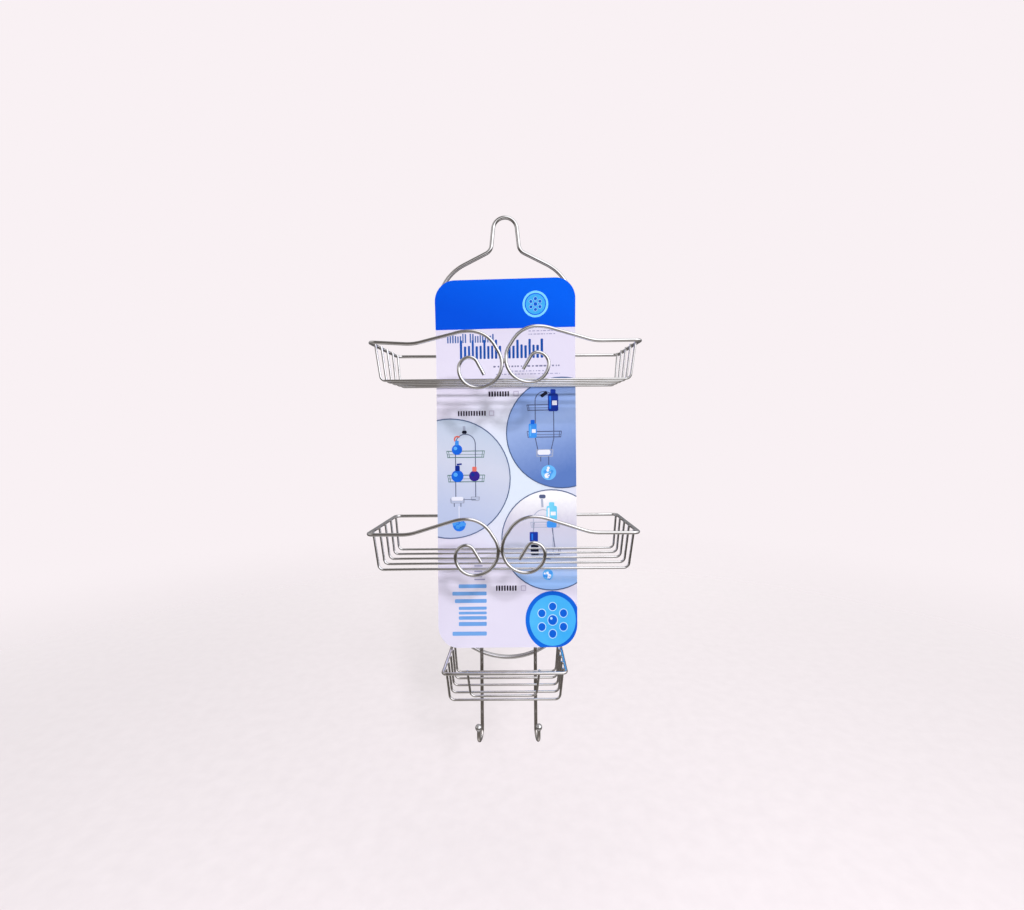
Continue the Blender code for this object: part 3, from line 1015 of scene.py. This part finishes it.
def make_right_inset(draw):
    inset("inset_right", 66.4, 182.6, 65.7, "ground_right", [
        *arch(34.8, 57.0, 133.0, 190.0),
        *shelf(24.8, 62.0, 149.0, 6.4), *shelf(24.8, 66.4, 181.0, 6.8),
        *lines(((34.8, 189.0), (37.6, 203.0)), ((57.0, 189.0), (53.6, 203.0)),
               ((41.0, 211.0), (41.0, 217.0)), ((50.6, 211.0), (50.6, 224.0))),
        *shelf(35.6, 56.0, 203.0, 8.0, "wire_pale"),
        (stroke(((42.0, 139.0), (49.0, 134.0)), 3.8), "black", 5),
        *block_bottle(50.3, 62.6, 130.5, 157.0, "navy", "blue", "navy"),
        *block_bottle(26.8, 36.4, 167.0, 188.6, "sky_deep", "sky", "blue"),
        (box(37.3, 203.0, 52.7, 209.0, 2.4), "white", 6),
        *sponge(50.4, 230.4, 9.0, "sky", "white", draw)])


def make_left_inset(draw):
    hose = [tuple(point) for point in arc((-59.0, 189.0), 3.4, 120.0, 200.0, 10)]
    inset("inset_left", -68.0, 236.4, 71.5, "ground_left", [
        *arch(-61.4, -37.5, 183.0, 259.0),
        *shelf(-72.0, -26.4, 203.4, 7.6, "wire_green"),
        *shelf(-71.0, -26.4, 232.5, 8.0, "wire_green"),
        (stroke(((-51.0, 173.0), (-50.4, 179.0)), 3.0), "wire_pale", 4),
        (box(-53.4, 178.6, -47.6, 182.4, 1.6), "black", 5),
        (stroke(hose, 1.8), "salmon", 5),
        *ball_bottle(-59.5, 201.6, 6.3, "blue", "sky", "sky_deep", 2.2),
        *ball_bottle(-59.2, 233.6, 7.3, "blue", "sky", "navy", 2.8),
        (stroke(((-60.0, 219.6), (-54.0, 219.0)), 2.0), "navy", 6),
        *ball_bottle(-38.8, 233.6, 6.4, "purple", "navy", "salmon", 2.6),
        *lines(((-61.4, 262.0), (-37.5, 262.0)), width=0.7),
        *shelf(-68.0, -51.0, 261.0, 5.0, "wire_pale"),
        *shelf(-43.0, -33.0, 259.0, 4.0, "wire_pale"),
        (box(-66.7, 258.6, -52.4, 263.2, 2.0), "white", 6),
        *lines(((-63.4, 266.0), (-63.4, 270.5)), ((-55.4, 266.0), (-55.4, 270.5))),
        *lines(((-57.7, 270.0), (-57.7, 286.0)), colour="white", width=0.8),
        *sponge(-57.7, 292.6, 7.6, "blue", "sky_deep", draw)])


def make_low_inset(draw):
    inset("inset_low", 53.2, 310.9, 59.2, "ground_low", [
        *arch(31.6, 55.0, 275.0, 330.0, "wire_pale"),
        *shelf(28.0, 63.7, 290.0, 6.0, "wire_pale"), *shelf(28.0, 63.7, 322.0, 7.0),
        *lines(((54.0, 297.0), (57.4, 322.0)), ((32.4, 290.0), (31.2, 302.0))),
        (stroke(((42.0, 262.0), (42.6, 272.0)), 2.6), "wire_pale", 4),
        (box(38.6, 256.8, 46.4, 261.4, 2.0), "wire_dark", 5),
        *block_bottle(47.3, 60.0, 266.0, 288.0, "cyan", "white", "cyan"),
        (box(47.6, 288.6, 59.4, 296.6, 2.0), "sky_deep", 5),
        (box(26.9, 301.6, 36.9, 313.4, 1.2), "navy", 5),
        (box(29.0, 303.6, 31.0, 311.4, 0.5), "blue", 6),
        (box(28.3, 316.0, 37.6, 329.6, 1.2), "black", 5),
        *lines(((34.0, 333.0), (52.0, 334.4)), ((36.0, 338.0), (51.0, 339.0))),
        *sponge(48.5, 352.6, 6.4, "sky", "white", draw)])


def make_insets():
    draw = random.Random(31)
    for make_inset in (make_right_inset, make_left_inset, make_low_inset):
        make_inset(draw)


def make_sheet():
    stocks = [coated_stock(name, *(srgb(*colour) for colour in colours)) for name, *colours in (
        ("card_stock", (229, 227, 243), (221, 219, 237), (224, 238, 250)),
        ("card_back", (226, 223, 234), (217, 214, 226), (224, 221, 232)))]
    sheet = slab(card_outline(), 0.0, -CARD_THICKNESS)
    for face in sheet.faces:
        face.material_index = 1 if face.normal.y > 0.5 else 0
    settle("display_card_sheet", sheet, stocks, "card", "display_card")


# ---------------------------------------------------------------- stage

def make_stage():
    """A wide pale floor well below the hanging caddy, fading out at its edge."""
    floor_drop, floor_r = 0.22, 2.6
    mesh = bmesh.new()
    bmesh.ops.create_circle(mesh, cap_ends=True, segments=96, radius=floor_r)
    data = bpy.data.meshes.new("floor")
    mesh.to_mesh(data)
    mesh.free()
    floor = add_object("floor", data)
    floor.location = (0.0, 0.0, cad_low.z - floor_drop)
    floor.visible_glossy = False
    made, tree, shader = new_material("floor_paint")
    grain = noise_value(tree, 40.0, 4.0)
    tree.links.new(ramp(tree, grain, ((0.3, srgb(232, 226, 228)), (0.7, srgb(236, 230, 232)))),
                   shader.inputs["Base Color"])
    shader.inputs["Roughness"].default_value = 0.9
    shader.inputs["Specular IOR Level"].default_value = 0.1
    length = tree.nodes.new("ShaderNodeVectorMath")
    length.operation = "LENGTH"
    tree.links.new(own_place(tree), length.inputs[0])
    fade = spread(tree, length.outputs["Value"], 0.0, floor_r, 0.0, 1.0, "SMOOTHERSTEP")
    clear = tree.nodes.new("ShaderNodeBsdfTransparent")
    tree.links.new(mix_shaders(tree, fade, shader.outputs["BSDF"], clear.outputs["BSDF"]),
                   tree.nodes["Material Output"].inputs["Surface"])
    data.materials.append(made)


def make_world():
    """A pale room: plain to the eye, with light and dark sides for the chrome to mirror.

    Behind the caddy is a dim wall, and in front a room that is dark low down and on the
    left, and bright above and on the right. Matt surfaces get an even light instead.
    """
    world = bpy.data.worlds.new("room")
    bpy.context.scene.world = world
    world.use_nodes = True
    tree = world.node_tree
    seen = tree.nodes["Background"]
    seen.inputs["Color"].default_value = srgb(249, 241, 244)
    place = tree.nodes.new("ShaderNodeTexCoord")
    parts = tree.nodes.new("ShaderNodeSeparateXYZ")
    tree.links.new(place.outputs["Generated"], parts.inputs["Vector"])

    def along(axis, *stops):
        """Greys along an axis, each as its position, linear level and warmth."""
        colours = [(position, (level * (1.0 + warmth), level, level * (1.0 - warmth), 1.0))
                   for position, level, warmth in stops]
        return ramp(tree, spread(tree, parts.outputs[axis], -1.0, 1.0, 0.0, 1.0), colours)

    def blend(amount, one, two):
        made = tree.nodes.new("ShaderNodeMixRGB")
        for socket, source in (("Fac", amount), ("Color1", one), ("Color2", two)):
            tree.links.new(source, made.inputs[socket])
        return made.outputs["Color"]

    def background(strength, colour):
        made = tree.nodes.new("ShaderNodeBackground")
        made.inputs["Strength"].default_value = strength
        tree.links.new(colour, made.inputs["Color"])
        return made.outputs["Background"]

    across = along("X", (0.0, 0.40, 0.03), (0.20, 0.30, 0.06), (0.34, 0.09, 0.10),
                   (0.42, 0.10, 0.10), (0.47, 0.34, 0.03), (0.51, 0.82, 0.0),
                   (0.57, 1.0, 0.0), (1.0, 1.0, 0.0))
    low = along("Z", (0.0, 0.40, 0.05), (0.20, 0.16, 0.08), (0.33, 0.05, 0.14), (1.0, 0.05, 0.14))
    room = blend(spread(tree, parts.outputs["Z"], -0.16, 0.16, 0.0, 1.0), low, across)
    wall = along("Z", (0.0, 0.09, 0.10), (0.4, 0.11, 0.06), (0.6, 0.18, 0.02), (1.0, 0.35, 0.0))
    behind = spread(tree, parts.outputs["Y"], -0.05, 0.45, 0.0, 1.0)
    mirrored = background(1.5, blend(behind, room, wall))
    ambient = background(1.0, along("Z", (0.0, 0.20, 0.0), (0.5, 0.15, 0.0), (0.75, 0.26, 0.0),
                                    (0.9, 1.0, 0.0), (1.0, 1.0, 0.0)))
    rays = tree.nodes.new("ShaderNodeLightPath").outputs
    lit = mix_shaders(tree, rays["Is Glossy Ray"], ambient, mirrored)
    shown = mix_shaders(tree, rays["Is Camera Ray"], lit, seen.outputs["Background"])
    tree.links.new(shown, tree.nodes["World Output"].inputs["Surface"])


def area_light(name, place, target, size, power, colour, mirrored=False):
    data = bpy.data.lights.new(name, "AREA")
    data.shape = "RECTANGLE"
    data.size, data.size_y = size
    data.energy = power
    data.color = colour[:3]
    lamp = add_object(name, data)
    lamp.visible_glossy = mirrored
    place, target = Vector(place), Vector(target)
    lamp.matrix_world = (Matrix.Translation(place)
                         @ (target - place).to_track_quat("-Z", "Y").to_matrix().to_4x4())


def make_lights():
    centre = (cad_low + cad_high) / 2.0
    area_light("key", (0.35, -1.55, 0.42), centre, (0.16, 0.16), 18.5, srgb(255, 248, 255))
    area_light("window", (1.3, -1.4, 0.5), centre, (1.2, 1.4), 3.2, srgb(250, 248, 255), True)
    area_light("ceiling", (0.0, -0.3, 1.6), (0.0, -0.3, 0.0), (1.8, 1.0), 9.5, srgb(255, 248, 252))
    area_light("back_fill", (0.3, 1.8, 0.3), centre, (1.6, 1.6), 9.0, srgb(255, 252, 250))


def make_camera():
    data = bpy.data.cameras.new("camera")
    data.lens = LENS
    data.shift_x, data.shift_y = SHIFT
    data.clip_start, data.clip_end = 0.01, 50.0
    camera = add_object("camera", data)
    camera.matrix_world = (Matrix.Translation(Vector(CAMERA_PLACE) * MM)
                           @ Matrix.Rotation(math.radians(90.0), 4, "X")
                           @ Matrix.Rotation(math.radians(-CAMERA_ROLL), 4, "Z"))
    bpy.context.scene.camera = camera


card_low, card_high = span("display_card")
card_half, card_top, card_bottom = card_high.x, card_high.z, card_low.z
card_middle_y = card_high.y - CARD_THICKNESS / 2.0
card_curl = card_middle_y - (card_low.y + CARD_THICKNESS / 2.0)
INKS = make_inks()

noise.seed_set(HAND_BEND_SEED)
bpy.context.scene.view_settings.view_transform = "Standard"
make_camera()
make_world()
make_lights()
make_stage()
make_caddy()
make_sheet()
printed("card_band", [(box(-90.0, -2.0, 90.0, 57.0), "band", 1)])
make_heading()
make_notes()
make_marks()
make_insets()
make_emblems()
make_side_word()
